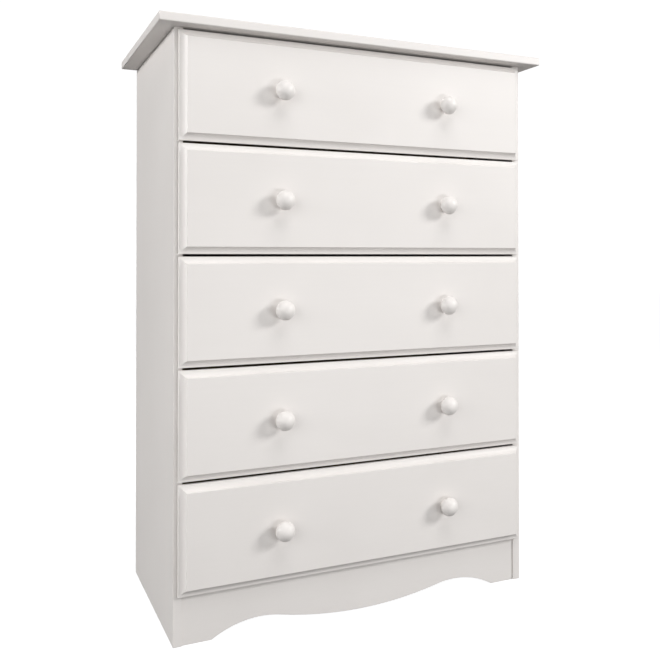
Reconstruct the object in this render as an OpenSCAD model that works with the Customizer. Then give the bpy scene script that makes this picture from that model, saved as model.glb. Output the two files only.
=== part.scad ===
// Tall chest of five drawers: painted carcass and drawer fronts, turned wooden knobs, bare pine
// drawer boxes on roller slides.
// Origin: on the floor, under the middle of the overall box. +Z is up, +X is to the right of a
// person facing the drawers, and the drawers open towards -Y. Drawer 1 is the top one.

/* [Carcass] */
// Height from the floor to the face of the top
chest_h = 1214; // [1211:1:1240]
// Width over the two side panels
carcass_w = 813; // [760:1:860]
// Depth of a side panel, front edge to back edge
carcass_d = 398; // [390:1:440]
// Thickness of the top, side panels, apron and rails
board_t = 18; // [17:0.5:20]
// How far the top stands out past each side panel
top_side_overhang = 36; // [15:1:60]
// How far the top stands out past the front edges of the side panels
top_front_overhang = 34; // [22:1:50]
// Rounding of the edges of the top
top_ease = 3; // [1:0.5:6]
// Thickness of the back panel
back_t = 4; // [3:0.5:6]
// Height of the lower edge of the back panel and of the lower rear rail
back_z = 22; // [10:1:40]
// Height of a rear rail
rear_rail_h = 70; // [50:1:80]
// Depth of the flat rail under the front of the top
front_rail_d = 60; // [50:1:80]
// How far the front rail sits behind the front edges of the side panels
front_rail_setback = 22; // [10:1:40]

/* [Apron] */
// Height of the apron
apron_h = 106; // [80:1:108]
// How far the apron sits behind the front edges of the side panels
apron_setback = 3; // [2:1:20]
// From the outer face of a side panel to the inner end of the apron's foot
foot_w = 77; // [50:1:100]
// From the outer face of a side panel to the peak of the arch
arch_peak_x = 178; // [160:1:200]
// Height of the arch at its peak
arch_peak_h = 27.7; // [20:0.1:40]
// Height of the middle lobe over the floor
lobe_h = 3; // [1:0.5:10]

/* [Drawer fronts] */
// Height of a drawer front
front_h = 214.5; // [200:0.5:215]
// Gap between one drawer front and the next
front_gap = 5; // [2:0.5:6]
// Thickness of a drawer front
front_t = 18; // [17:0.5:20]
// How far a drawer front stays inside the outer face of a side panel
front_inset = 8; // [3:0.5:12]
// Height of the lower edge of the lowest drawer front
lowest_front_z = 98; // [96:1:100]
// Gap between a closed drawer front and the side panels
front_clear = 1.5; // [1:0.5:3]
// Width of the coved edge of a drawer front
edge_w = 14; // [10:0.5:18]
// Depth of the coved edge below the face
edge_depth = 11; // [8:0.5:13]
// Height of the step between the face and the cove
edge_step = 1.5; // [0.5:0.5:3]
// Width of the flat lip outside the cove
edge_lip = 1.5; // [1:0.5:3]
// Radius of the cove
cove_r = 14; // [12:0.5:20]

/* [Drawer boxes] */
// Height of the sides and back of a drawer box
box_h = 156; // [120:1:165]
// Length of a drawer box behind its front
box_d = 366; // [355:1:370]
// Thickness of the sides and back of a drawer box
box_t = 12; // [10:0.5:15]
// Thickness of a drawer bottom
bottom_t = 4; // [3:0.5:6]
// Depth of the groove that holds a drawer bottom
groove_depth = 6; // [4:0.5:8]
// How far a drawer box sits above the lower edge of its front
box_raise = 16; // [14:1:25]
// How far a drawer bottom sits above the lower edge of its box
bottom_raise = 10; // [8:1:15]

/* [Knobs] */
// Diameter of a knob
knob_d = 40; // [38:1:44]
// How far a knob stands out from its drawer front
knob_out = 36; // [34:1:38]
// Distance between the two knobs of a drawer
knob_spacing = 382; // [300:1:450]
// Radius of the rim of a knob
knob_rim_r = 8; // [6:0.5:9]
// How far the widest part of a knob is from the drawer front
knob_rim_out = 20; // [18:0.5:22]
// Diameter of the neck of a knob
knob_neck_d = 17; // [14:0.5:20]
// Radius of the cove between the neck and the head of a knob
knob_cove_r = 4; // [3:0.5:5]
// Diameter of the foot of a knob
knob_foot_d = 21; // [19:0.5:24]

/* [Slides] */
// Length of a slide rail
slide_len = 350; // [340:1:360]
// Side clearance for a pair of rails, between a drawer box and a side panel
slide_clear = 13; // [13:0.5:14]
// Thickness of the rail sheet
sheet_t = 1.2; // [1:0.1:1.4]
// Diameter of a roller
roller_d = 21.4; // [20:0.1:21.6]
// Width of a roller
roller_w = 7; // [6:0.5:7]
// Diameter of a roller's axle
axle_d = 5; // [4:0.5:6]

/* [Hidden] */
DRAWERS = 5;
DRAWER_PIECES = ["front", "left_side", "right_side", "back", "bottom",
                 "knobs", "knob_screws", "rails", "front_rollers", "rear_rollers"];

$fn = 64;
cut = 1;           // how far a cutting shape runs past the face it opens
pin_play = 0.05;   // radial play of a dowel, screw or axle in its hole
hole_play = 0.3;   // radial play of a screw in a through hole

// Planes of the carcass
overall_d = carcass_d + front_clear + front_t + knob_out;
back_y = overall_d / 2;
carcass_y = back_y - carcass_d;              // front edges of the side panels
inner_x = carcass_w / 2 - board_t;           // inner face of the right side panel
under_top_z = chest_h - board_t;
rebate_w = 8;                                // rebate for the back panel
back_slack = 0.5;

// Scallop of the apron: an arc arch beside each foot, and one long arc lobe that meets both arches
arch_half_w = arch_peak_x - foot_w;
arch_r = (arch_half_w ^ 2 + arch_peak_h ^ 2) / (2 * arch_peak_h);
lobe_rise = arch_peak_h - lobe_h;
lobe_dx = carcass_w / 2 - arch_peak_x;
lobe_r = (lobe_dx ^ 2 + lobe_rise ^ 2) / (2 * lobe_rise) - arch_r;
meet_x = lobe_dx * lobe_r / (arch_r + lobe_r);   // where lobe and arch meet, from the middle
scallop_steps = 100;

// Drawer fronts and boxes
front_w = carcass_w - 2 * front_inset;
front_pitch = front_h + front_gap;
front_back_y = carcass_y - front_clear;
face_y = front_back_y - front_t;
box_w = 2 * (inner_x - slide_clear);
box_back_y = front_back_y + box_d;
groove_play = 0.2;
bottom_slack = 0.5;

// Knobs: the dome is tangent to the rim, and the rim to the cove
knob_r = knob_d / 2;
rim_c = knob_r - knob_rim_r;
dome_c = ((knob_out - knob_rim_r) ^ 2 - knob_rim_out ^ 2 - rim_c ^ 2)
         / (2 * (knob_out - knob_rim_r - knob_rim_out));
dome_r = knob_out - dome_c;
dome_meet = dome_c + dome_r * (knob_rim_out - dome_c) / (dome_r - knob_rim_r);
knob_cove_c = knob_neck_d / 2 + knob_cove_r;
knob_cove_out = knob_rim_out - sqrt((knob_rim_r + knob_cove_r) ^ 2 - (rim_c - knob_cove_c) ^ 2);
knob_foot_t = 2;
knob_screw_d = 4;
knob_screw_head_d = 9;
knob_screw_head_t = 2.2;
knob_screw_grip = 16;                        // length of the screw inside the knob
knob_hole_depth = 18;

// Slides: a drawer rail rides on the cabinet rail's front roller, and its own rear roller runs in
// the cabinet rail's channel
rail_setback = 3;                            // front end of a cabinet rail behind the side's edge
roller_play = 0.3;                           // gap between a roller and the sheet it rolls on
flange_play = 0.8;                           // gap over the drawer rail's flange
track_h = roller_d + 2 * roller_play;        // lower flange to the drawer rail's flange
channel_h = track_h + sheet_t + flange_play; // clear height inside the cabinet rail
channel_drop = 4;                            // channel's floor under the drawer box
channel_flange = 10;
drawer_flange_gap = 3;                       // drawer rail's flange to the side panel
front_roller_y = carcass_y + 30;
rear_roller_inset = 12.5;                    // from the rear end of the drawer rail
rear_roller_y = front_back_y + slide_len - rear_roller_inset;
front_roller_gap = 2.6;                      // from the side panel to the front roller
rear_roller_gap = 3.9;                       // from the side panel to the rear roller
roller_hub_d = 9;
roller_rim_t = 2.2;
roller_web_recess = 1.5;
axle_head_d = 9;
axle_head_t = 1;
rail_screw_ys = [70, 180, 315];              // along a cabinet rail, from its front end
rail_screw_d = 3.2;
rail_screw_len = 13;
rail_screw_head_d = 7;
rail_screw_head_t = 0.9;

// Dowels between the boards of the carcass
dowel_d = 8;
dowel_len = 34;
dowel_in_face = 12;                          // depth of a dowel in the board that it enters flat
side_mid_x = inner_x + board_t / 2;
front_rail_y = carcass_y + front_rail_setback;
rear_rail_y = back_y - back_t - board_t;
apron_y = carcass_y + apron_setback;
dowel_inset = 16;                            // from the edges of a rail to its dowels
apron_dowel_zs = [34, 82];
top_dowel_ys = [for (part = [0.24, 0.57, 0.9]) carcass_y + part * carcass_d];
rail_dowel_places = concat(                  // [y, z] of the dowels in the ends of rails and apron
    [for (y = [dowel_inset, front_rail_d - dowel_inset])
        [front_rail_y + y, under_top_z - board_t / 2]],
    [for (z = [back_z, under_top_z - rear_rail_h], up = [dowel_inset, rear_rail_h - dowel_inset])
        [rear_rail_y + board_t / 2, z + up]],
    [for (z = apron_dowel_zs) [apron_y + board_t / 2, z]]
);

paint = "#f4f2ee";
pine = "#e3c392";
hardboard = "#efece6";
zinc = "#c9ccd0";
nylon = "#f1f1ec";

function front_z(n) = lowest_front_z + (DRAWERS - n) * front_pitch;
function box_z(n) = front_z(n) + box_raise;
function track_z(n) = box_z(n) - channel_drop;
function axle_z(n) = track_z(n) + track_h / 2;

// Height of the apron's lower edge at a distance x from its middle
function scallop_z(x) =
    abs(x) > meet_x
        ? arch_peak_h - arch_r + sqrt(arch_r ^ 2 - (abs(x) - lobe_dx) ^ 2)
        : lobe_h + lobe_r - sqrt(lobe_r ^ 2 - x ^ 2);

// Middle of the circle of radius r through a and b, on the right of the way from a to b
function arc_middle(a, b, r) =
    let (half = (b - a) / 2, h = norm(half), rise = sqrt(r ^ 2 - h ^ 2) / h)
    a + half + rise * [half.y, -half.x];

// ---- helpers ----

module block(x, y, z) {
    translate([x[0], y[0], z[0]])
        cube([x[1] - x[0], y[1] - y[0], z[1] - z[0]]);
}

module both_sides() {
    children();
    mirror([1, 0, 0]) children();
}

// Cylinder along +X from the point at
module x_pin(at, d, length) {
    translate(at) rotate([0, 90, 0]) cylinder(d = d, h = length);
}

// Cylinder along +Y from the point at
module y_pin(at, d, length) {
    translate(at) rotate([-90, 0, 0]) cylinder(d = d, h = length);
}

module rounded_rectangle(w, h, r) {
    translate([r, 0]) square([w - 2 * r, h]);
    translate([0, r]) square([w, h - 2 * r]);
    for (x = [r, w - r], y = [r, h - r])
        translate([x, y]) circle(r);
}

// ---- carcass ----

module dowels(play, in_face, in_end) {
    both_sides() {
        for (y = top_dowel_ys)
            translate([side_mid_x, y, under_top_z - in_end])
                cylinder(d = dowel_d + 2 * play, h = in_end + in_face);
        for (place = rail_dowel_places)
            x_pin([inner_x - in_end, place[0], place[1]], dowel_d + 2 * play, in_end + in_face);
    }
}

module dowel_holes() {
    dowels(pin_play, dowel_in_face + pin_play, dowel_len - dowel_in_face + pin_play);
}

module carcass_dowels() {
    color(pine) dowels(0, dowel_in_face, dowel_len - dowel_in_face);
}

module top_panel() {
    top_w = carcass_w + 2 * top_side_overhang;
    top_d = carcass_d + top_front_overhang;
    color(paint)
        translate([-top_w / 2, back_y - top_d, under_top_z])
            difference() {
                intersection() {
                    linear_extrude(board_t) rounded_rectangle(top_w, top_d, top_ease);
                    translate([0, top_d, 0]) rotate([90, 0, 0])
                        linear_extrude(top_d) rounded_rectangle(top_w, board_t, top_ease);
                    rotate([90, 0, 90])
                        linear_extrude(top_w) rounded_rectangle(top_d, board_t, top_ease);
                }
                translate([top_w / 2, top_d - back_y, -under_top_z]) dowel_holes();
            }
}

module rail_screw_holes(d) {
    for (n = [1:DRAWERS], y = rail_screw_ys)
        x_pin([inner_x - sheet_t - cut, carcass_y + rail_setback + y, axle_z(n)],
              d, rail_screw_len + sheet_t + cut);
}

module side_panel() {
    color(paint)
        difference() {
            block([inner_x, carcass_w / 2], [carcass_y, back_y], [0, under_top_z]);
            block([inner_x - cut, inner_x + rebate_w], [back_y - back_t, back_y + cut],
                  [-cut, under_top_z + cut]);
            dowel_holes();
            rail_screw_holes(rail_screw_d + 2 * pin_play);
        }
}

module right_side_panel() {
    side_panel();
}

module left_side_panel() {
    mirror([1, 0, 0]) side_panel();
}

module back_panel() {
    edge_x = inner_x + rebate_w - back_slack;
    color(hardboard)
        block([-edge_x, edge_x], [back_y - back_t, back_y], [back_z, under_top_z]);
}

module front_top_rail() {
    color(paint)
        difference() {
            block([-inner_x, inner_x], [front_rail_y, front_rail_y + front_rail_d],
                  [under_top_z - board_t, under_top_z]);
            dowel_holes();
        }
}

module rear_rails() {
    color(paint)
        difference() {
            for (z = [back_z, under_top_z - rear_rail_h])
                block([-inner_x, inner_x], [rear_rail_y, rear_rail_y + board_t],
                      [z, z + rear_rail_h]);
            dowel_holes();
        }
}

module front_apron() {
    gap_w = 2 * (carcass_w / 2 - foot_w);
    lower_edge = [for (i = [0:scallop_steps])
                     let (x = gap_w * (i / scallop_steps - 0.5)) [x, scallop_z(x)]];
    color(paint)
        difference() {
            translate([0, apron_y + board_t, 0]) rotate([90, 0, 0])
                linear_extrude(board_t)
                    polygon(concat([[-inner_x, apron_h], [-inner_x, 0]], lower_edge,
                                   [[inner_x, 0], [inner_x, apron_h]]));
            dowel_holes();
        }
}

// ---- slides ----

module cabinet_rail(n) {
    front = carcass_y + rail_setback;
    along = [front, front + slide_len];
    floor_z = track_z(n);
    block([inner_x - sheet_t, inner_x], along, [floor_z - sheet_t, floor_z + channel_h + sheet_t]);
    for (z = [floor_z - sheet_t, floor_z + channel_h])
        block([inner_x - channel_flange, inner_x], along, [z, z + sheet_t]);
    pin_len = roller_w + front_roller_gap + roller_play;
    axle_at = [inner_x - pin_len, front_roller_y, axle_z(n)];
    x_pin(axle_at, axle_d, pin_len - sheet_t / 2);
    x_pin(axle_at - [axle_head_t, 0, 0], axle_head_d, axle_head_t);
}

module cabinet_rails() {
    color(zinc)
        both_sides()
            difference() {
                for (n = [1:DRAWERS]) cabinet_rail(n);
                rail_screw_holes(rail_screw_d + 2 * hole_play);
            }
}

module cabinet_rail_screws() {
    color(zinc)
        both_sides()
            for (n = [1:DRAWERS], y = rail_screw_ys) {
                at = [inner_x - sheet_t, carcass_y + rail_setback + y, axle_z(n)];
                x_pin(at, rail_screw_d, rail_screw_len);
                x_pin(at - [rail_screw_head_t, 0, 0], rail_screw_head_d, rail_screw_head_t);
            }
}

module drawer_rails(n) {
    along = [front_back_y, front_back_y + slide_len];
    side_x = box_w / 2;
    flange_z = track_z(n) + track_h;
    axle_from = inner_x - rear_roller_gap + roller_play;
    color(zinc)
        both_sides() {
            block([side_x, side_x + sheet_t], along, [box_z(n) - sheet_t, flange_z + sheet_t]);
            block([side_x - box_t, side_x + sheet_t], along, [box_z(n) - sheet_t, box_z(n)]);
            block([side_x, inner_x - drawer_flange_gap], along, [flange_z, flange_z + sheet_t]);
            x_pin([side_x + sheet_t / 2, rear_roller_y, axle_z(n)], axle_d,
                  axle_from - side_x - sheet_t / 2);
            x_pin([axle_from, rear_roller_y, axle_z(n)], axle_head_d, axle_head_t);
        }
}

// A pair of rollers on one line, each with a hub, a rim and a thinner web
module rollers(gap, y, z) {
    bore_r = axle_d / 2 + pin_play;
    web_w = roller_d / 2 - roller_rim_t - roller_hub_d / 2;
    color(nylon)
        both_sides()
            translate([inner_x - gap - roller_w, y, z])
                rotate([0, 90, 0])
                    rotate_extrude()
                        difference() {
                            translate([bore_r, 0]) square([roller_d / 2 - bore_r, roller_w]);
                            for (side = [0, roller_w - roller_web_recess])
                                translate([roller_hub_d / 2, side])
                                    square([web_w, roller_web_recess]);
                        }
}

// ---- drawers ----

// What the cove takes off one edge, in the plane of its section, with the face along y = 0
module cove_cut() {
    intersection() {
        square([edge_w, edge_depth]);
        translate(arc_middle([edge_lip, edge_depth], [edge_w, edge_step], cove_r)) circle(cove_r);
    }
}

module coved_section(length) {
    difference() {
        square([length, front_t]);
        cove_cut();
        translate([length, 0]) mirror([1, 0]) cove_cut();
    }
}

module groove(n) {
    reach_x = box_w / 2 - box_t + groove_depth;
    low_z = box_z(n) + bottom_raise;
    block([-reach_x, reach_x], [front_back_y - groove_depth, box_back_y + cut],
          [low_z, low_z + bottom_t + groove_play]);
}

module at_knobs(n) {
    for (x = [-knob_spacing / 2, knob_spacing / 2])
        translate([x, face_y, front_z(n) + front_h / 2])
            rotate([90, 0, 0]) children();
}

module drawer_front(n) {
    color(paint)
        difference() {
            translate([0, face_y, front_z(n)])
                intersection() {
                    translate([-front_w / 2, 0, 0])
                        linear_extrude(front_h) coved_section(front_w);
                    translate([front_w / 2, 0, 0]) rotate([0, -90, 0])
                        linear_extrude(front_w) coved_section(front_h);
                }
            groove(n);
            at_knobs(n)
                translate([0, 0, -front_t - cut])
                    cylinder(d = knob_screw_d + 2 * hole_play, h = front_t + 2 * cut);
        }
}

module drawer_side(n) {
    color(pine)
        difference() {
            block([box_w / 2 - box_t, box_w / 2], [front_back_y, box_back_y],
                  [box_z(n), box_z(n) + box_h]);
            groove(n);
        }
}

module drawer_back(n) {
    half_w = box_w / 2 - box_t;
    color(pine)
        block([-half_w, half_w], [box_back_y - box_t, box_back_y],
              [box_z(n) + bottom_raise + bottom_t + groove_play, box_z(n) + box_h]);
}

module drawer_bottom(n) {
    half_w = box_w / 2 - box_t + groove_depth - bottom_slack;
    low_z = box_z(n) + bottom_raise;
    color(pine)
        block([-half_w, half_w],
              [front_back_y - groove_depth + bottom_slack, box_back_y - bottom_slack],
              [low_z, low_z + bottom_t]);
}

module knob_section() {
    difference() {
        union() {
            intersection() {
                translate([0, dome_c]) circle(dome_r);
                translate([0, dome_meet]) square([dome_r, dome_r]);
            }
            translate([rim_c, knob_rim_out]) circle(knob_rim_r);
            square([rim_c, dome_meet]);
        }
        translate([knob_neck_d / 2, knob_foot_t])
            square([knob_r, knob_cove_out - knob_foot_t]);
        translate([knob_foot_d / 2, -cut]) square([knob_r, knob_foot_t + 2 * cut]);
        translate([knob_cove_c, knob_cove_out]) circle(knob_cove_r);
    }
}

module drawer_knobs(n) {
    color(paint)
        at_knobs(n)
            difference() {
                rotate_extrude() knob_section();
                translate([0, 0, -cut])
                    cylinder(d = knob_screw_d + 2 * pin_play, h = knob_hole_depth + cut);
            }
}

module drawer_knob_screws(n) {
    color(zinc)
        at_knobs(n) {
            translate([0, 0, -front_t]) cylinder(d = knob_screw_d, h = front_t + knob_screw_grip);
            translate([0, 0, -front_t - knob_screw_head_t])
                cylinder(d = knob_screw_head_d, h = knob_screw_head_t);
        }
}

module drawer_piece(n, piece) {
    if (piece == "front") drawer_front(n);
    if (piece == "left_side") mirror([1, 0, 0]) drawer_side(n);
    if (piece == "right_side") drawer_side(n);
    if (piece == "back") drawer_back(n);
    if (piece == "bottom") drawer_bottom(n);
    if (piece == "knobs") drawer_knobs(n);
    if (piece == "knob_screws") drawer_knob_screws(n);
    if (piece == "rails") drawer_rails(n);
    if (piece == "front_rollers") rollers(front_roller_gap, front_roller_y, axle_z(n));
    if (piece == "rear_rollers") rollers(rear_roller_gap, rear_roller_y, axle_z(n));
}

top_panel();
left_side_panel();
right_side_panel();
back_panel();
front_apron();
front_top_rail();
rear_rails();
carcass_dowels();
cabinet_rails();
cabinet_rail_screws();
for (n = [1:DRAWERS], piece = DRAWER_PIECES)
    drawer_piece(n, piece);
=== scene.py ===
"""Looks of the tall chest of five drawers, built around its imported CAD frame. Sizes are in metres."""
import math

import bmesh
import bpy
from mathutils import Matrix, Vector


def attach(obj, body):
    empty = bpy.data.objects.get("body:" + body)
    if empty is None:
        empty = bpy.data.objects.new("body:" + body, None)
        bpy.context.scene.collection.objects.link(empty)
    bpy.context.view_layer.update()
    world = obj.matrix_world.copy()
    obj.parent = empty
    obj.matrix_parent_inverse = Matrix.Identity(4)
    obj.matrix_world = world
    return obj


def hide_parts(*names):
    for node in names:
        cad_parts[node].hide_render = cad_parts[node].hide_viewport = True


DRAWERS = range(1, 6)

# Camera, in front of the chest and to the left, a little above its middle
CAMERA_AT = (-0.7455, -1.6802, 0.753)
CAMERA_YAW = 23.9                     # degrees, from the +Y axis towards +X
CAMERA_PITCH = 0.54                   # degrees, upwards
CAMERA_LENS = 42.95                   # mm
CAMERA_SENSOR = 36.0                  # mm, the sensor's width
CAMERA_SHIFT = -0.1236                # as a part of the picture's width, below zero is down
CAMERA_NEAR = 0.05

# Light
SKY_LIGHT = 0.03                      # strength of the sky as the chest sees it
SKY_SEEN = 1.05                       # and as the camera sees it
SKY_COLOUR = (1.0, 0.995, 0.985)
FLOOR_SIZE = 24.0
FLOOR_CELLS = 8
FLOOR_DROP = 0.0002                   # below the feet, so that the two don't share a plane
FLOOR_PALE = 0.15                     # reflectance of the floor
FLOOR_MOTTLE = 1.02                   # its paler patches, as a part of the others
FLOOR_GLOW = 1.0                      # what is added to it as the camera sees it
FLOOR_ROUGHNESS = 0.7
FLOOR_SPECULAR = 0.1
LIGHTS = {
    # name: (place, aimed at, width, height, watts)
    "key": ((4.4, -3.45, 2.9), (-0.3, -0.2, 0.8), 1.6, 1.6, 200.0),
    "over": ((0.1, -1.3, 3.1), (0.0, -0.4, 0.6), 1.8, 1.4, 28.0),
    "fill": ((-2.6, -2.4, 1.6), (0.0, -0.1, 0.6), 2.0, 2.4, 37.0),
    "high": ((-5.0, 0.4, 2.0), (-0.4, 0.0, 0.6), 2.0, 1.2, 118.0),
    "side": ((-5.0, -0.6, 1.7), (-0.4, 0.0, 0.6), 2.0, 0.7, 32.0),
    "low": ((0.5, -2.4, 0.3), (0.0, -0.2, 1.15), 1.6, 0.5, 16.5),
    "back": ((0.6, 3.2, 2.0), (0.0, 0.2, 0.6), 2.4, 2.4, 60.0),
}

# Corners of a CAD mesh are one where they agree to this many decimals of a metre
SOLID_DECIMALS = 6
EDGE_DECIMALS = 5

# Rounding of the edges of painted boards, of bare ones, and of sheet metal and rollers
BOARD_EDGE = 0.0009
BARE_EDGE = 0.0006
SHEET_EDGE = 0.0003
SHARP_ANGLE = math.radians(32)
SHORTEST_EDGE = 0.0025                # shorter edges belong to holes, and stay as they are
WELD_WITHIN = 1e-6
BEVEL_STEPS = 3
NORMAL_WEIGHT = 50

# Drawer front: its section is a lip, a cove and a step, from the edge to the raised face
LIP = 0.0015
COVE_DEPTH = 0.011                    # depth of the lip below the face
COVE_WIDTH = 0.014                    # from the edge to the step
COVE_R = 0.014
STEP = 0.0015
FRONT_EASE = 0.0006
SUPPORT = 0.0012                      # from an eased edge to the loop that keeps the flat flat
GROOVE_DEPTH = 0.006
GROOVE_PLAY = 0.0003
COVE_STEPS = 24
EASE_STEPS = 5

# Knob, as in the CAD model
KNOB_FOOT_R = 0.0105
KNOB_FOOT_T = 0.002
KNOB_FOOT_EASE = 0.0004
KNOB_EASE_STEPS = 4
KNOB_NECK_R = 0.0085
KNOB_COVE_R = 0.004
KNOB_RIM_R = 0.008
KNOB_RIM_OUT = 0.020
LATHE_STEPS = 128
ON_AXIS = 1e-7                        # a smaller radius is a single point on the axis
ARC_STEPS = 20

# Screws
RAIL_SCREW_HEAD_T = 0.0009
RAIL_SCREW_R = 0.0016
KNOB_SCREW_HEAD_T = 0.0022
KNOB_SCREW_R = 0.002
HEAD_RIM = 0.35                       # height of a head's rim, as a part of the head's height
HEAD_FILLET = 0.00005
HEAD_STEPS = 26
TIP_WIDTH = 0.3                       # as a part of the shank's width
TIP_LENGTH = 2.5                      # as a part of the shank's radius
RECESS_ARM = 0.44                     # lengths of the cross recess, as parts of the head's radius
RECESS_HALF_W = 0.12
RECESS_END = 0.16
RECESS_SIDE = 0.04
RECESS_DEPTH = 0.6                    # as a part of the head's height

# Colours. A pair is of the darker and the paler patches of one material
WHITE = (1.0, 1.0, 1.0)
PAINT = ((0.795, 0.762, 0.737), (0.815, 0.782, 0.757))
HARDBOARD = ((0.70, 0.675, 0.63), (0.76, 0.74, 0.70))
COATING = ((0.78, 0.78, 0.76), (0.83, 0.83, 0.815))
ZINC = ((0.52, 0.53, 0.55), (0.70, 0.71, 0.73))
NYLON = ((0.76, 0.75, 0.70), (0.82, 0.81, 0.77))
PATCHES = (0.3, 0.7)                  # values of a noise at its darker and its paler colour
PAINT_GRAIN = (0.98, 0.977, 0.972)    # tint of the grain's lines under the paint
PAINT_GRAIN_PART = 0.25               # and how much of it shows
PINE_RINGS = ((0.0, (0.74, 0.53, 0.31)), (0.62, (0.68, 0.46, 0.25)), (0.92, (0.55, 0.33, 0.15)))
PINE_WARM = (0.78, 0.58, 0.36)
PINE_WARM_PART = 0.45                 # the most of it that is mixed in
PINE_FIBRE = (0.86, 0.82, 0.76)
PINE_FIBRE_PART = 0.8                 # how much of the fibres' darkening shows
PINE_KNOT = (0.35, 0.17, 0.07)

# Sheen
PAINT_ROUGHNESS = 0.46
PAINT_VARIES = (-0.04, 0.05)          # how far its roughness varies to either side
KNOB_ROUGHNESS = 0.40
PAINT_SPECULAR = 0.45
HARDBOARD_ROUGHNESS = (0.62, 0.75)
PINE_ROUGHNESS = (0.55, 0.72)
COATING_ROUGHNESS = (0.28, 0.38)
ZINC_ROUGHNESS = (0.24, 0.42)
NYLON_ROUGHNESS = (0.40, 0.52)


# ---- meshes ----

def new_object(name, mesh):
    piece = bpy.data.objects.new(name, mesh)
    bpy.context.scene.collection.objects.link(piece)
    return piece


def islands(node):
    """Lowest and highest corner of each separate solid of a CAD node, in metres."""
    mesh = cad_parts[node].data
    owner = {}

    def root(key):
        while owner[key] != key:
            owner[key] = owner[owner[key]]
            key = owner[key]
        return key

    keys = [tuple(round(c, SOLID_DECIMALS) for c in v.co) for v in mesh.vertices]
    for key in keys:
        owner[key] = key
    for face in mesh.polygons:
        first = root(keys[face.vertices[0]])
        for index in face.vertices[1:]:
            owner[root(keys[index])] = first
    groups = {}
    for key in owner:
        groups.setdefault(root(key), []).append(key)
    boxes = []
    for points in groups.values():
        low = Vector(min(p[i] for p in points) for i in range(3))
        high = Vector(max(p[i] for p in points) for i in range(3))
        boxes.append((low, high))
    return sorted(boxes, key=lambda b: tuple(b[0]))


def arc(centre, radius, start, end, steps=ARC_STEPS):
    """Points on an arc from one angle to another, in degrees."""
    angles = [math.radians(start + (end - start) * i / steps) for i in range(steps + 1)]
    return [(centre[0] + radius * math.cos(a), centre[1] + radius * math.sin(a)) for a in angles]


def band(mesh, first, second):
    """Faces between two loops of vertices. Either may be a single vertex."""
    steps = max(len(first), len(second))
    for i in range(steps):
        j = (i + 1) % steps
        corners = [loop[k % len(loop)] for loop, k in ((first, i), (first, j), (second, j), (second, i))]
        mesh.faces.new(tuple(dict.fromkeys(corners)))


def mesh_data(name, mesh):
    data = bpy.data.meshes.new(name)
    mesh.to_mesh(data)
    mesh.free()
    return data


def smooth_data(name, mesh):
    """Data of a closed mesh, smooth and with its normals outwards."""
    bmesh.ops.recalc_face_normals(mesh, faces=mesh.faces)
    for face in mesh.faces:
        face.smooth = True
    return mesh_data(name, mesh)


def lathe(name, profile, shape=None):
    """A closed turned mesh about +Z. The profile's points are (radius, height), from axis to axis."""
    mesh = bmesh.new()
    rings = []
    for radius, height in profile:
        if radius < ON_AXIS:
            rings.append([mesh.verts.new((0.0, 0.0, height))])
            continue
        ring = []
        for i in range(LATHE_STEPS):
            a = 2 * math.pi * i / LATHE_STEPS
            ring.append(mesh.verts.new((radius * math.cos(a), radius * math.sin(a), height)))
        rings.append(ring)
    for low, high in zip(rings, rings[1:]):
        band(mesh, low, high)
    if shape:
        for vertex in mesh.verts:
            vertex.co = shape(vertex.co)
    return smooth_data(name, mesh)


def cove_middle():
    """Middle of the cove's circle, as (distance from the edge, depth below the face)."""
    start, end = Vector((LIP, COVE_DEPTH)), Vector((COVE_WIDTH, STEP))
    half = (end - start) / 2
    rise = math.sqrt(COVE_R ** 2 - half.length_squared) / half.length
    return start + half + rise * Vector((half.y, -half.x))


def front_section(thickness):
    """Section of a drawer front, as (distance from the edge, depth), from the back to the face."""
    ease = FRONT_EASE
    middle = cove_middle()
    cove_from = math.degrees(math.atan2(COVE_DEPTH - middle.y, LIP - middle.x))
    cove_to = math.degrees(math.atan2(STEP - middle.y, COVE_WIDTH - middle.x))
    points = [(ease + SUPPORT, thickness)]
    points += arc((ease, thickness - ease), ease, 90, 180, EASE_STEPS)
    points += arc((ease, COVE_DEPTH + ease), ease, 180, 270, EASE_STEPS)
    points += arc(middle, COVE_R, cove_from, cove_to, COVE_STEPS)
    points += arc((COVE_WIDTH + ease, ease), ease, 180, 270, EASE_STEPS)
    return points + [(COVE_WIDTH + ease + SUPPORT, 0.0)]


def front_data(name, low, high, groove_x, groove_z):
    """A drawer front with mitred edges, and a groove for the drawer bottom in its back."""
    mesh = bmesh.new()
    section = front_section(high.y - low.y)

    def loop(inset, depth):
        xs, zs = (low.x + inset, high.x - inset), (low.z + inset, high.z - inset)
        around = ((xs[0], zs[0]), (xs[1], zs[0]), (xs[1], zs[1]), (xs[0], zs[1]))
        return [mesh.verts.new((x, low.y + depth, z)) for x, z in around]

    loops = [loop(inset, depth) for inset, depth in section]
    for first, second in zip(loops, loops[1:]):
        band(mesh, first, second)
        for mitre in zip(first, second):
            mesh.edges.get(mitre).smooth = False
    mesh.faces.new(loops[-1])
    bottom, top = groove_z
    around = ((-groove_x, bottom), (groove_x, bottom), (groove_x, top), (-groove_x, top))
    rims = [[mesh.verts.new((x, y, z)) for x, z in around] for y in (high.y, high.y - GROOVE_DEPTH)]
    for first, second in ((loops[0], rims[0]), (rims[0], rims[1])):
        band(mesh, first, second)
        for rim in zip(second, second[1:] + second[:1]):
            mesh.edges.get(rim).smooth = False
    mesh.faces.new(rims[1])
    return smooth_data(name, mesh)


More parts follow.
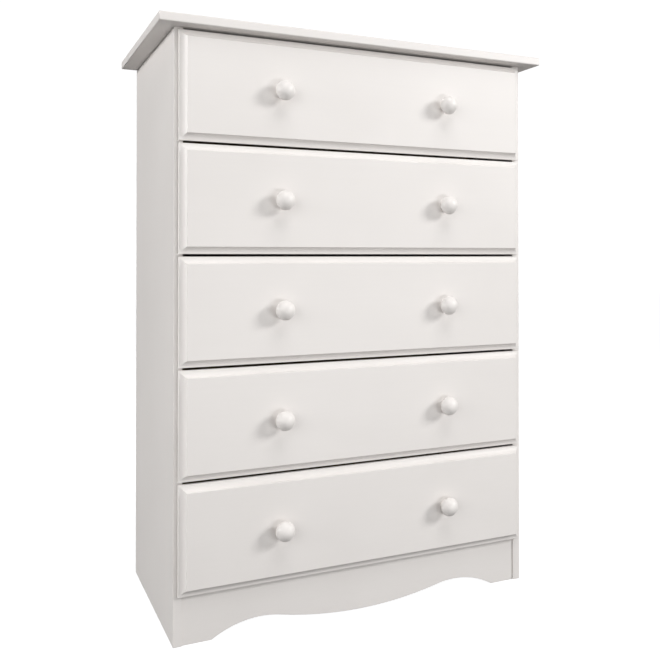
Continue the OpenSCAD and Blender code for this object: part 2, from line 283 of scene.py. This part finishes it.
def make_front(n):
    node = f"drawer_{n}_front"
    low, high = islands(node)[0]
    bottom_low, bottom_high = islands(f"drawer_{n}_bottom")[0]
    reach = bottom_high.x + GROOVE_PLAY
    data = front_data(f"front_{n}", low, high, reach, (bottom_low.z, bottom_high.z + GROOVE_PLAY))
    front = new_object(f"front_{n}", data)
    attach(front, f"drawer_{n}")
    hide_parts(node)
    front.data.materials.append(materials["paint_x"])


def knob_profile(radius, out):
    """The outline of a knob, from the middle of its foot to the top of its dome."""
    rim_c = radius - KNOB_RIM_R
    reach = out - KNOB_RIM_R
    dome_c = (reach ** 2 - KNOB_RIM_OUT ** 2 - rim_c ** 2) / (2 * (reach - KNOB_RIM_OUT))
    dome_r = out - dome_c
    cove_c = KNOB_NECK_R + KNOB_COVE_R
    between = KNOB_RIM_R + KNOB_COVE_R
    cove_out = KNOB_RIM_OUT - math.sqrt(between ** 2 - (rim_c - cove_c) ** 2)
    cove_end = math.degrees(math.atan2(KNOB_RIM_OUT - cove_out, rim_c - cove_c))
    dome_from = math.degrees(math.atan2(KNOB_RIM_OUT - dome_c, rim_c))
    ease = KNOB_FOOT_EASE
    points = [(0.0, 0.0), (KNOB_FOOT_R, 0.0)]
    points += arc((KNOB_FOOT_R - ease, KNOB_FOOT_T - ease), ease, 0, 90, KNOB_EASE_STEPS)
    points += [(KNOB_NECK_R, KNOB_FOOT_T)]
    points += arc((cove_c, cove_out), KNOB_COVE_R, 180, cove_end)
    points += arc((rim_c, KNOB_RIM_OUT), KNOB_RIM_R, cove_end - 180, dome_from)[1:]
    points += arc((0.0, dome_c), dome_r, dome_from, 90)[1:-1]
    return points + [(0.0, out)]


def make_knobs(n):
    node = f"drawer_{n}_knobs"
    for side, (low, high) in zip(("left", "right"), islands(node)):
        radius = (high.x - low.x) / 2
        data = lathe(f"knob_{n}_{side}", knob_profile(radius, high.y - low.y))
        middle = (low + high) / 2
        turn = Matrix.Translation((middle.x, high.y, middle.z)) @ Matrix.Rotation(math.pi / 2, 4, "X")
        data.transform(turn)
        knob = new_object(f"knob_{n}_{side}", data)
        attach(knob, f"drawer_{n}")
        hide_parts(node)
        knob.data.materials.append(materials["knob_paint"])


def screw_data(name, head_r, head_t, shank_r, length):
    """A pan head screw with a cross recess, about +Z, its head on top of the plane z = 0."""
    rim_t = head_t * HEAD_RIM
    tip_r = shank_r * TIP_WIDTH
    profile = [(0.0, -length), (tip_r, -length), (shank_r, -length + TIP_LENGTH * shank_r)]
    profile += [(shank_r, -HEAD_FILLET), (shank_r + HEAD_FILLET, 0.0), (head_r, 0.0)]
    for i in range(HEAD_STEPS + 1):
        radius = head_r * (1 - i / HEAD_STEPS)
        rise = rim_t + (head_t - rim_t) * math.sqrt(max(0.0, 1 - (radius / head_r) ** 2))
        profile.append((radius, rise))

    def recess(point):
        along = max(abs(point.x), abs(point.y)) / head_r
        across = min(abs(point.x), abs(point.y)) / head_r
        if point.z > 0.0 and along < RECESS_ARM and across < RECESS_HALF_W:
            end = min(1.0, (RECESS_ARM - along) / RECESS_END)
            side = min(1.0, (RECESS_HALF_W - across) / RECESS_SIDE)
            point.z -= RECESS_DEPTH * head_t * end * side
        return point

    return lathe(name, profile, recess)


def make_screws(node, body, head_t, shank_r, heads_face):
    """Screws in place of a CAD node's plain ones. heads_face gives the way a head faces."""
    for i, (low, high) in enumerate(islands(node)):
        middle = (low + high) / 2
        facing = heads_face(middle)
        length = abs((high - low).dot(facing))
        data = screw_data(f"{node}_{i}", (high.z - low.z) / 2, head_t, shank_r, length - head_t)
        under_head = middle + facing * (length / 2 - head_t)
        turn = facing.to_track_quat("Z", "Y").to_matrix().to_4x4()
        data.transform(Matrix.Translation(under_head) @ turn)
        screw = new_object(f"{node}_{i}", data)
        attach(screw, body)
        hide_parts(node)
        screw.data.materials.append(materials["screw_steel"])


def inwards(middle):
    return Vector((-math.copysign(1.0, middle.x), 0.0, 0.0))


def rearwards(middle):
    return Vector((0.0, 1.0, 0.0))


def mark_edges(mesh, shortest):
    """Marks a CAD mesh's sharp edges for the bevel, without the short ones round its holes."""
    keys = [tuple(round(c, EDGE_DECIMALS) for c in v.co) for v in mesh.vertices]
    around = {}
    for face in mesh.polygons:
        for pair in face.edge_keys:
            around.setdefault(frozenset(keys[i] for i in pair), []).append(face.normal.copy())
    weights = mesh.attributes.new("bevel_weight_edge", "FLOAT", "EDGE")
    for edge in mesh.edges:
        first, second = (mesh.vertices[i].co for i in edge.vertices)
        normals = around[frozenset(keys[i] for i in edge.vertices)]
        turn = max(normals[0].angle(other, 0.0) for other in normals)
        if turn > SHARP_ANGLE and (first - second).length > shortest:
            weights.data[edge.index].value = 1.0


def soften(node, width, shortest):
    """Rounds the edges of a CAD node a little, without changing its mesh."""
    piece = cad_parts[node]
    mark_edges(piece.data, shortest)
    weld = piece.modifiers.new("weld", "WELD")
    weld.merge_threshold = WELD_WITHIN
    bevel = piece.modifiers.new("bevel", "BEVEL")
    bevel.width = width
    bevel.segments = BEVEL_STEPS
    bevel.limit_method = "WEIGHT"
    bevel.use_clamp_overlap = False
    normals = piece.modifiers.new("normals", "WEIGHTED_NORMAL")
    normals.mode = "FACE_AREA"
    normals.weight = NORMAL_WEIGHT
    for face in piece.data.polygons:
        face.use_smooth = True


# ---- materials ----

class Nodes:
    """Adds shader nodes to one material."""

    def __init__(self, name):
        self.material = bpy.data.materials.new(name)
        self.material.use_nodes = True
        self.tree = self.material.node_tree
        self.shader = self.tree.nodes["Principled BSDF"]

    def add(self, kind, inputs=None, **settings):
        node = self.tree.nodes.new(kind)
        for key, value in settings.items():
            setattr(node, key, value)
        for key, value in (inputs or {}).items():
            if isinstance(value, bpy.types.NodeSocket):
                self.tree.links.new(value, node.inputs[key])
            else:
                node.inputs[key].default_value = value
        return node

    def link(self, output, name):
        self.tree.links.new(output, self.shader.inputs[name])

    def place(self, scale=(1.0, 1.0, 1.0)):
        """The piece's own coordinates, in metres, times a scale along each axis."""
        coordinate = self.add("ShaderNodeTexCoord")
        mapping = self.add("ShaderNodeMapping", {"Vector": coordinate.outputs["Object"], "Scale": scale})
        return mapping.outputs["Vector"]

    def noise(self, where, scale, detail=3.0, roughness=0.5, distortion=0.0):
        node = self.add("ShaderNodeTexNoise", {"Vector": where, "Scale": scale, "Detail": detail,
                                               "Roughness": roughness, "Distortion": distortion})
        return node.outputs["Fac"]

    def ramp(self, value, stops):
        node = self.add("ShaderNodeValToRGB", {"Fac": value})
        while len(node.color_ramp.elements) > len(stops):
            node.color_ramp.elements.remove(node.color_ramp.elements[-1])
        while len(node.color_ramp.elements) < len(stops):
            node.color_ramp.elements.new(1.0)
        for element, (position, colour) in zip(node.color_ramp.elements, stops):
            element.position = position
            element.color = (*colour, 1.0)
        return node.outputs["Color"]

    def patches(self, value, colours):
        """Darker and paler patches of one colour, from a noise."""
        return self.ramp(value, list(zip(PATCHES, colours)))

    def mix(self, part, first, second, blend="MIX"):
        node = self.add("ShaderNodeMix", data_type="RGBA", blend_type=blend)
        for index, value in ((0, part), (6, first), (7, second)):
            if isinstance(value, bpy.types.NodeSocket):
                self.tree.links.new(value, node.inputs[index])
            elif index == 0:
                node.inputs[0].default_value = value
            else:
                node.inputs[index].default_value = (*value, 1.0)
        return node.outputs[2]

    def math(self, operation, first, second=0.0, clamp=False):
        return self.add("ShaderNodeMath", {0: first, 1: second}, operation=operation,
                        use_clamp=clamp).outputs[0]

    def span(self, value, low, high):
        """A value between 0 and 1, spread from low to high."""
        return self.add("ShaderNodeMapRange", {"Value": value, "To Min": low, "To Max": high}).outputs[0]

    def bump(self, height, strength, distance, below=None):
        inputs = {"Height": height, "Strength": strength, "Distance": distance}
        if below is not None:
            inputs["Normal"] = below
        return self.add("ShaderNodeBump", inputs).outputs["Normal"]


def grain_scale(axis, along, across):
    return tuple(along if name == axis else across for name in "XYZ")


def paint(name, axis, roughness=PAINT_ROUGHNESS):
    """Satin white paint over wood whose grain runs along one axis."""
    nodes = Nodes(name)
    stretched = nodes.place(grain_scale(axis, along=1.2, across=34.0))
    grain = nodes.noise(stretched, scale=6.0, detail=4.0, roughness=0.55, distortion=0.6)
    mottle = nodes.noise(nodes.place(), scale=5.0)
    peel = nodes.noise(nodes.place(), scale=520.0, detail=2.0)
    tone = nodes.patches(mottle, PAINT)
    streaks = nodes.ramp(grain, [(0.35, PAINT_GRAIN), (0.65, WHITE)])
    nodes.link(nodes.mix(PAINT_GRAIN_PART, tone, streaks, "MULTIPLY"), "Base Color")
    smoother, rougher = (roughness + change for change in PAINT_VARIES)
    nodes.link(nodes.span(mottle, smoother, rougher), "Roughness")
    coarse = nodes.bump(grain, strength=0.025, distance=0.0005)
    nodes.link(nodes.bump(peel, strength=0.07, distance=0.0002, below=coarse), "Normal")
    nodes.shader.inputs["Specular IOR Level"].default_value = PAINT_SPECULAR
    return nodes.material


def pine(name, axis):
    """Bare pine whose grain runs along one axis, with a few knots."""
    nodes = Nodes(name)
    where = nodes.place(grain_scale(axis, along=0.9, across=9.0))
    drift = nodes.noise(where, scale=1.1, detail=2.0)
    rings = nodes.add("ShaderNodeTexWave", {"Vector": where, "Scale": 2.4, "Distortion": 7.0,
                                            "Detail": 3.0, "Detail Scale": 0.7},
                      wave_type="BANDS", bands_direction="DIAGONAL").outputs["Fac"]
    thin = nodes.place(grain_scale(axis, along=5.0, across=260.0))
    fibres = nodes.noise(thin, scale=5.0, detail=4.0, roughness=0.6)
    oval = nodes.place(grain_scale(axis, along=3.2, across=6.5))
    knots = nodes.add("ShaderNodeTexVoronoi", {"Vector": oval, "Scale": 1.0, "Randomness": 1.0})
    pale = nodes.ramp(rings, PINE_RINGS)
    warm = nodes.mix(nodes.span(drift, 0.0, PINE_WARM_PART), pale, PINE_WARM)
    fine = nodes.ramp(fibres, [(0.35, PINE_FIBRE), (0.7, WHITE)])
    wood = nodes.mix(PINE_FIBRE_PART, warm, fine, "MULTIPLY")
    knot = nodes.ramp(knots.outputs["Distance"], [(0.05, PINE_KNOT), (0.13, WHITE)])
    nodes.link(nodes.mix(1.0, wood, knot, "MULTIPLY"), "Base Color")
    nodes.link(nodes.span(fibres, *PINE_ROUGHNESS), "Roughness")
    coarse = nodes.bump(rings, strength=0.12, distance=0.0004)
    nodes.link(nodes.bump(fibres, strength=0.25, distance=0.0002, below=coarse), "Normal")
    return nodes.material


def plain(nodes, cloud, colours, roughness, relief, strength, distance):
    """A material of one colour in patches, with a relief of its own."""
    nodes.link(nodes.patches(cloud, colours), "Base Color")
    nodes.link(nodes.span(cloud, *roughness), "Roughness")
    nodes.link(nodes.bump(relief, strength, distance), "Normal")
    return nodes.material


def hardboard(name):
    """Pale hardboard with the fine mesh texture of its rear side."""
    nodes = Nodes(name)
    where = nodes.place()
    weave = nodes.add("ShaderNodeTexVoronoi", {"Vector": where, "Scale": 620.0, "Randomness": 0.35})
    blotch = nodes.noise(where, scale=9.0, detail=4.0, roughness=0.6)
    return plain(nodes, blotch, HARDBOARD, HARDBOARD_ROUGHNESS, weave.outputs["Distance"],
                 strength=0.35, distance=0.0003)


def coating(name):
    """White epoxy powder coat on steel sheet."""
    nodes = Nodes(name)
    where = nodes.place()
    peel = nodes.noise(where, scale=900.0, detail=2.0)
    cloud = nodes.noise(where, scale=14.0)
    return plain(nodes, cloud, COATING, COATING_ROUGHNESS, peel, strength=0.15, distance=0.0002)


def zinc(name):
    """Zinc plated screws."""
    nodes = Nodes(name)
    cloud = nodes.noise(nodes.place(), scale=240.0, detail=4.0, roughness=0.6)
    nodes.shader.inputs["Metallic"].default_value = 1.0
    return plain(nodes, cloud, ZINC, ZINC_ROUGHNESS, cloud, strength=0.12, distance=0.0001)


def nylon(name):
    """Moulded off-white nylon."""
    nodes = Nodes(name)
    where = nodes.place()
    cloud = nodes.noise(where, scale=60.0)
    fine = nodes.noise(where, scale=1500.0, detail=2.0)
    return plain(nodes, cloud, NYLON, NYLON_ROUGHNESS, fine, strength=0.12, distance=0.0001)


def set_material(node, name, edge):
    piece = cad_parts[node]
    piece.data.materials.clear()
    piece.data.materials.append(materials[name])
    soften(node, edge, 0.0 if "roller" in node else SHORTEST_EDGE)


def dress_carcass():
    for node, name in (("top_panel", "paint_x"), ("left_side_panel", "paint_z"),
                       ("right_side_panel", "paint_z"), ("front_apron", "paint_x"),
                       ("front_top_rail", "paint_x"), ("rear_rails", "paint_x")):
        set_material(node, name, BOARD_EDGE)
    set_material("back_panel", "hardboard", BARE_EDGE)
    set_material("carcass_dowels", "pine_z", BARE_EDGE)
    set_material("cabinet_rails", "coating", SHEET_EDGE)


def dress_drawer(n):
    for part, name in (("left_side", "pine_y"), ("right_side", "pine_y"), ("back", "pine_x"),
                       ("bottom", "pine_x")):
        set_material(f"drawer_{n}_{part}", name, BARE_EDGE)
    set_material(f"drawer_{n}_rails", "coating", SHEET_EDGE)
    for end in ("front", "rear"):
        set_material(f"drawer_{n}_{end}_rollers", "nylon", SHEET_EDGE)


# ---- studio ----

def make_camera():
    data = bpy.data.cameras.new("camera")
    data.sensor_width = CAMERA_SENSOR
    data.sensor_fit = "HORIZONTAL"
    data.lens = CAMERA_LENS
    data.shift_y = CAMERA_SHIFT
    data.clip_start = CAMERA_NEAR
    camera = new_object("camera", data)
    camera.location = CAMERA_AT
    camera.rotation_euler = (math.radians(90 + CAMERA_PITCH), 0.0, math.radians(-CAMERA_YAW))
    bpy.context.scene.camera = camera


def make_floor():
    mesh = bmesh.new()
    bmesh.ops.create_grid(mesh, x_segments=FLOOR_CELLS, y_segments=FLOOR_CELLS, size=FLOOR_SIZE / 2)
    floor = new_object("floor", mesh_data("floor", mesh))
    floor.location.z = -FLOOR_DROP
    nodes = Nodes("floor_white")
    cloud = nodes.noise(nodes.place(), scale=2.0)
    colours = ((FLOOR_PALE,) * 3, (FLOOR_PALE * FLOOR_MOTTLE,) * 3)
    nodes.link(nodes.patches(cloud, colours), "Base Color")
    nodes.shader.inputs["Roughness"].default_value = FLOOR_ROUGHNESS
    nodes.shader.inputs["Specular IOR Level"].default_value = FLOOR_SPECULAR
    nodes.shader.inputs["Emission Color"].default_value = (*WHITE, 1.0)
    seen = nodes.add("ShaderNodeLightPath").outputs["Is Camera Ray"]
    nodes.link(nodes.math("MULTIPLY", seen, FLOOR_GLOW), "Emission Strength")
    floor.data.materials.append(nodes.material)


def make_sky():
    world = bpy.data.worlds.new("sky")
    bpy.context.scene.world = world
    world.use_nodes = True
    tree = world.node_tree
    lit = tree.nodes["Background"]
    lit.inputs["Color"].default_value = (*SKY_COLOUR, 1.0)
    lit.inputs["Strength"].default_value = SKY_LIGHT
    seen = tree.nodes.new("ShaderNodeBackground")
    seen.inputs["Color"].default_value = (*WHITE, 1.0)
    seen.inputs["Strength"].default_value = SKY_SEEN
    path = tree.nodes.new("ShaderNodeLightPath")
    choice = tree.nodes.new("ShaderNodeMixShader")
    tree.links.new(path.outputs["Is Camera Ray"], choice.inputs[0])
    tree.links.new(lit.outputs[0], choice.inputs[1])
    tree.links.new(seen.outputs[0], choice.inputs[2])
    tree.links.new(choice.outputs[0], tree.nodes["World Output"].inputs["Surface"])


def make_lights():
    for name, (place, aim, width, height, watts) in LIGHTS.items():
        data = bpy.data.lights.new(name, "AREA")
        data.shape = "RECTANGLE"
        data.size = width
        data.size_y = height
        data.energy = watts
        light = new_object(name, data)
        light.location = place
        way = Vector(aim) - Vector(place)
        light.rotation_euler = way.to_track_quat("-Z", "Y").to_euler()


def corners(pair):
    return [[round(c, 5) for c in corner] for corner in pair]


make_camera()
bpy.context.scene.view_settings.view_transform = "Standard"
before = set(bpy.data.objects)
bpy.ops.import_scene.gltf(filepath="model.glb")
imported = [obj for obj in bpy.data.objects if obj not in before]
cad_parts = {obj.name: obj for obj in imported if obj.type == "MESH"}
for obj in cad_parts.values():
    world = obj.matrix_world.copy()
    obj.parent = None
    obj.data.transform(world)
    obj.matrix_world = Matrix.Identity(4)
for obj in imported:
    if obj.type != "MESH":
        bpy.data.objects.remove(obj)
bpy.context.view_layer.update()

materials = {
    "paint_x": paint("paint_x", "X"),
    "paint_z": paint("paint_z", "Z"),
    "knob_paint": paint("knob_paint", "Y", KNOB_ROUGHNESS),
    "pine_x": pine("pine_x", "X"),
    "pine_y": pine("pine_y", "Y"),
    "pine_z": pine("pine_z", "Z"),
    "hardboard": hardboard("hardboard"),
    "coating": coating("coating"),
    "screw_steel": zinc("screw_steel"),
    "nylon": nylon("nylon"),
}

dress_carcass()
make_screws("cabinet_rail_screws", "carcass", RAIL_SCREW_HEAD_T, RAIL_SCREW_R, inwards)
for number in DRAWERS:
    dress_drawer(number)
    make_front(number)
    make_knobs(number)
    make_screws(f"drawer_{number}_knob_screws", f"drawer_{number}", KNOB_SCREW_HEAD_T,
                KNOB_SCREW_R, rearwards)

make_floor()
make_sky()
make_lights()
